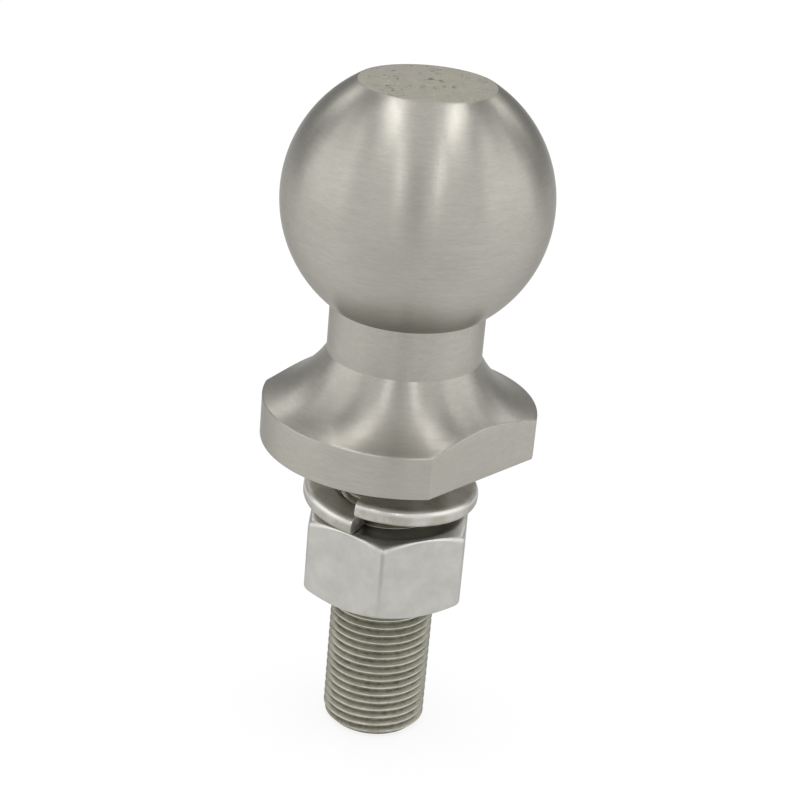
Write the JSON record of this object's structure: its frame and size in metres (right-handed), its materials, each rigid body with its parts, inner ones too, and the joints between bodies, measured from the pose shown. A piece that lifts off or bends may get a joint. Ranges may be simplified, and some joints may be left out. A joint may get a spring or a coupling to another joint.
{
  "type": "threaded tow ball",
  "caption": "Turned steel tow ball on a flared neck and a flange with spanner flats, with a threaded shank, split lock washer and hex nut.",
  "frame": {"origin": "on the axis, in the plane of the flange's underside, which sits on the drawbar", "axes": "+Z along the axis from the shank towards the ball; +X square to one of the flange's two spanner flats; +Y completes the right-handed frame"},
  "size_m": [0.0476, 0.0494, 0.1236],
  "materials": {
    "turned_stainless": "satin, with fine lathe grain around the axis",
    "spring_steel": "satin, tumbled smooth",
    "plated_steel": "soft bright plating"
  },
  "bodies": {
    "ball": {"tow_ball": "turned_stainless"},
    "washer": {"lock_washer": "spring_steel"},
    "nut": {"hex_nut": "plated_steel"}
  },
  "joints": [
    {"name": "nut_travel", "type": "slide", "parent": "ball", "child": "washer", "axis": [0, 0, -1], "range_m": [-0.0057, 0.028]},
    {"name": "nut_turn", "type": "hinge", "parent": "washer", "child": "nut", "pos_m": [0, 0, -0.02135], "axis": [0, 0, -1], "range_deg": [-1292, 6349]}
  ],
  "couplings": [
    {"joint": "nut_travel", "follows": "nut_turn", "m_per_rad": 0.00025266}
  ]
}
